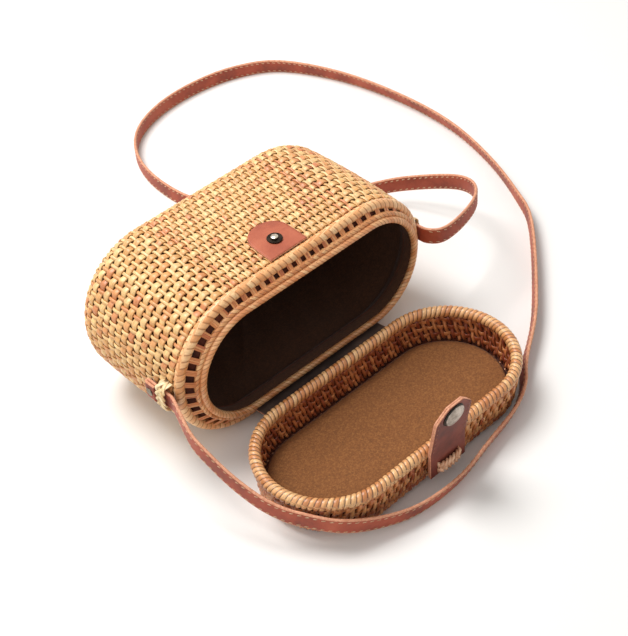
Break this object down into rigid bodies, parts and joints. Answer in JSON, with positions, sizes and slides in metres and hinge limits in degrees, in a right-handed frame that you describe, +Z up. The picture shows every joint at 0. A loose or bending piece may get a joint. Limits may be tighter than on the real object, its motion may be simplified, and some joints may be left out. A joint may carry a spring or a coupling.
{
  "type": "woven box bag",
  "caption": "Oval woven cane handbag with wrapped rims, a hinged lid that lies open, a snap tab closure and a long leather shoulder strap.",
  "frame": {"origin": "on the surface, under the middle of the bag with its lid open and without its free strap", "axes": "+X along the oval mouth towards the right strap loop, +Y from the mouth into the bag, +Z up; the bag lies on its back with its lid open in front"},
  "size_m": [0.385, 0.4512, 0.1116],
  "materials": {
    "cane_weave": "woven cane, varnished",
    "cane_wrap": "wrapped cane, varnished",
    "cane_dark": "cane core in shade",
    "cane_lip": "pale plaited cane",
    "dark_lining": "cotton",
    "tan_lining": "plain linen",
    "hinge_leather": "matt",
    "tan_leather": "satin",
    "tab_leather": "satin",
    "strap_leather": "satin",
    "thread": "waxed thread",
    "snap_metal": "antique finish",
    "board": "pressed board"
  },
  "bodies": {
    "bag": {"body_shell": "cane_weave", "mouth_border": "cane_wrap", "mouth_collar": "cane_dark", "mouth_lashings": "cane_wrap", "lip_ring": "cane_lip", "body_lining": "dark_lining", "hinge_strip": "hinge_leather", "hinge_strip_stitches": "thread", "stud_patch": "tan_leather", "stud_washer": "snap_metal", "stud_post": "snap_metal", "stud_rivet": "snap_metal", "strap_loop_left": "cane_lip", "strap_loop_right": "cane_lip", "strap_end_left": "strap_leather", "strap_end_right": "strap_leather", "strap_rivet_left": "snap_metal", "strap_rivet_right": "snap_metal", "strap": "strap_leather"},
    "lid": {"lid_shell": "cane_weave", "lid_rim": "cane_wrap", "lid_card": "board", "lid_lining": "tan_lining", "hinge_leaf": "hinge_leather", "hinge_leaf_stitches": "thread", "tab_foot": "tab_leather", "tab_lashing": "cane_lip"},
    "tab": {"closure_tab": "tab_leather", "closure_tab_backing": "tan_leather", "tab_stitches": "thread", "snap_socket": "snap_metal", "snap_cap": "snap_metal"}
  },
  "joints": [
    {"name": "lid_hinge", "type": "hinge", "parent": "bag", "child": "lid", "pos_m": [0, -0.01303, 0.01277], "axis": [1, 0, 0], "range_deg": [-90, 0]},
    {"name": "tab_flex", "type": "hinge", "parent": "lid", "child": "tab", "pos_m": [-0.004, -0.1102, 0.03105], "axis": [1, 0, 0], "range_deg": [-2.7, 60], "stiffness_Nm_per_rad": 0.03}
  ]
}
